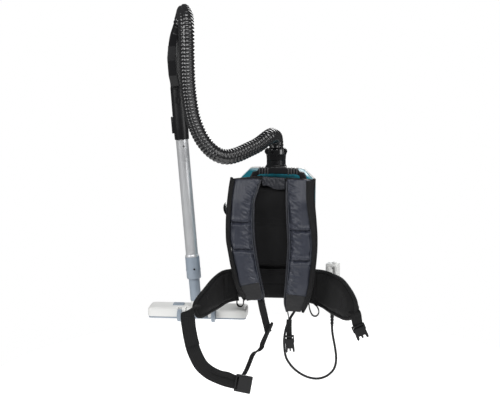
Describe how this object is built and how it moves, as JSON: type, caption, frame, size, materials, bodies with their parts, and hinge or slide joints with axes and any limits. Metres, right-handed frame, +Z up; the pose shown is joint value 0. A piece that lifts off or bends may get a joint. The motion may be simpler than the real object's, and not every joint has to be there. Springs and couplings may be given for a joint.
{
  "type": "backpack vacuum cleaner",
  "caption": "Cordless backpack vacuum cleaner with padded harness, ribbed hose, grip handle, telescoping pipe, wheeled floor nozzle and wired remote control.",
  "frame": {"origin": "middle of the back pad's front face, where the wearer's back rests", "axes": "+Z up, +Y away from the wearer, +X to the wearer's left"},
  "size_m": [0.6387, 0.343, 1.0729],
  "materials": {
    "teal_plastic": "satin moulded plastic",
    "white_plastic": "satin warm white plastic",
    "black_plastic": "fine-grained black plastic",
    "gloss_black": "glossy black plastic",
    "grey_plastic": "satin blue-grey plastic",
    "aluminium": "satin drawn aluminium",
    "steel": "plain steel",
    "nylon": "charcoal nylon with a soft sheen",
    "mesh": "black spacer mesh over foam",
    "webbing": "black woven webbing",
    "rubber": "matt black rubber",
    "paper": "filter paper",
    "green_board": "coated circuit board",
    "bristle": "dark bristle"
  },
  "bodies": {
    "root": {"main_housing": "teal_plastic", "lid_hinge_pin": "steel", "motor_cover": "black_plastic", "base_housing": "black_plastic", "dust_bag": "paper", "filter_cartridge": "paper", "motor": "steel", "circuit_board": "green_board", "inlet_neck": "black_plastic", "carry_handle": "black_plastic", "accessory_clip": "black_plastic", "back_frame": "black_plastic", "back_pad": "mesh", "lumbar_pad": "mesh", "shoulder_pad_left": "nylon", "shoulder_pad_right": "nylon", "harness_yoke": "nylon", "belt_wing_left": "mesh", "belt_wing_right": "mesh", "waist_strap": "webbing", "waist_buckle_socket": "black_plastic", "plug_webbing": "webbing", "waist_buckle_plug": "black_plastic", "pad_strap_right": "webbing", "pad_slider": "black_plastic", "pad_strap_tail": "webbing", "pad_strap_left": "webbing", "pad_buckle": "black_plastic", "strap_loop_left": "webbing", "strap_loop_right": "webbing", "control_front": "white_plastic", "control_back": "white_plastic", "control_screw": "steel", "strain_relief": "rubber", "control_cord": "rubber", "cord_gland": "rubber", "suction_hose": "gloss_black", "handle_shell": "black_plastic", "upper_pipe": "aluminium"},
    "lid": {"dust_lid": "white_plastic", "lid_seal": "rubber"},
    "latch": {"lid_latch": "black_plastic"},
    "fan": {"impeller": "grey_plastic"},
    "battery_left": {"battery_left": "black_plastic"},
    "battery_right": {"battery_right": "black_plastic"},
    "battery_left_release": {"battery_button_left": "grey_plastic"},
    "battery_right_release": {"battery_button_right": "grey_plastic"},
    "lock_ring": {"hose_lock_ring": "gloss_black"},
    "power_key": {"power_button": "grey_plastic"},
    "level_key": {"level_button": "grey_plastic"},
    "suction_slider": {"suction_slide": "black_plastic"},
    "pipe_lock": {"pipe_lock_button": "black_plastic"},
    "telescope": {"lower_pipe": "grey_plastic"},
    "neck": {"nozzle_neck": "white_plastic"},
    "nozzle": {"nozzle_shell": "white_plastic", "nozzle_sole": "grey_plastic"},
    "pedal": {"nozzle_pedal": "grey_plastic"},
    "brush": {"nozzle_brush": "bristle"},
    "wheel_left": {"wheel_left": "grey_plastic"},
    "wheel_right": {"wheel_right": "grey_plastic"}
  },
  "joints": [
    {"name": "lid_hinge", "type": "hinge", "parent": "root", "child": "lid", "pos_m": [0, 0.1318, 0.1695], "axis": [1, 0, 0], "range_deg": [0, 80]},
    {"name": "latch_pivot", "type": "hinge", "parent": "lid", "child": "latch", "pos_m": [0, 0.1861, -0.011], "axis": [1, 0, 0], "range_deg": [0, 40], "stiffness_Nm_per_rad": 0.05, "springref_deg": -17.19},
    {"name": "fan_spin", "type": "hinge", "parent": "root", "child": "fan", "pos_m": [0, 0.076, -0.058], "axis": [0, 0, 1], "continuous": true},
    {"name": "battery_left_slide", "type": "slide", "parent": "root", "child": "battery_left", "axis": [0, 1, 0], "range_m": [0, 0.11]},
    {"name": "battery_left_button", "type": "slide", "parent": "battery_left", "child": "battery_left_release", "axis": [0, -1, 0], "range_m": [0, 0.0022], "stiffness_N_per_m": 300},
    {"name": "battery_right_slide", "type": "slide", "parent": "root", "child": "battery_right", "axis": [0, 1, 0], "range_m": [0, 0.11]},
    {"name": "battery_right_button", "type": "slide", "parent": "battery_right", "child": "battery_right_release", "axis": [0, -1, 0], "range_m": [0, 0.0022], "stiffness_N_per_m": 300},
    {"name": "lock_ring_turn", "type": "hinge", "parent": "root", "child": "lock_ring", "pos_m": [0, 0.092, 0.22], "axis": [0, 0, 1], "range_deg": [0, 25]},
    {"name": "power_button_press", "type": "slide", "parent": "root", "child": "power_key", "axis": [-0.3007, -0.9537, 0], "range_m": [0, 0.001], "stiffness_N_per_m": 400},
    {"name": "level_button_press", "type": "slide", "parent": "root", "child": "level_key", "axis": [-0.3007, -0.9537, 0], "range_m": [0, 0.001], "stiffness_N_per_m": 400},
    {"name": "suction_slide_move", "type": "slide", "parent": "root", "child": "suction_slider", "axis": [-0.0778, 0, 0.997], "range_m": [0, 0.012]},
    {"name": "pipe_lock_press", "type": "slide", "parent": "root", "child": "pipe_lock", "axis": [0.997, 0, 0.0778], "range_m": [0, 0.002], "stiffness_N_per_m": 500},
    {"name": "telescope_slide", "type": "slide", "parent": "root", "child": "telescope", "axis": [0.0778, 0, -0.997], "range_m": [0, 0.22]},
    {"name": "neck_swivel", "type": "hinge", "parent": "telescope", "child": "neck", "pos_m": [-0.23067, 0.06, -0.21635], "axis": [-0.0778, 0, 0.997], "range_deg": [-60, 60]},
    {"name": "nozzle_pitch", "type": "hinge", "parent": "neck", "child": "nozzle", "pos_m": [-0.22916, 0.06, -0.23579], "axis": [1, 0, 0], "range_deg": [-70, 10]},
    {"name": "wheel_left_spin", "type": "hinge", "parent": "nozzle", "child": "wheel_left", "pos_m": [-0.17916, 0.05014, -0.25188], "axis": [1, 0, 0], "continuous": true},
    {"name": "wheel_right_spin", "type": "hinge", "parent": "nozzle", "child": "wheel_right", "pos_m": [-0.27916, 0.05014, -0.25188], "axis": [1, 0, 0], "continuous": true},
    {"name": "pedal_press", "type": "slide", "parent": "nozzle", "child": "pedal", "axis": [0, 0.0087, -1], "range_m": [0, 0.004]},
    {"name": "brush_drop", "type": "slide", "parent": "nozzle", "child": "brush", "axis": [0, 0.0087, -1], "range_m": [0, 0.004]}
  ],
  "couplings": [
    {"joint": "brush_drop", "follows": "pedal_press", "ratio": 1}
  ]
}
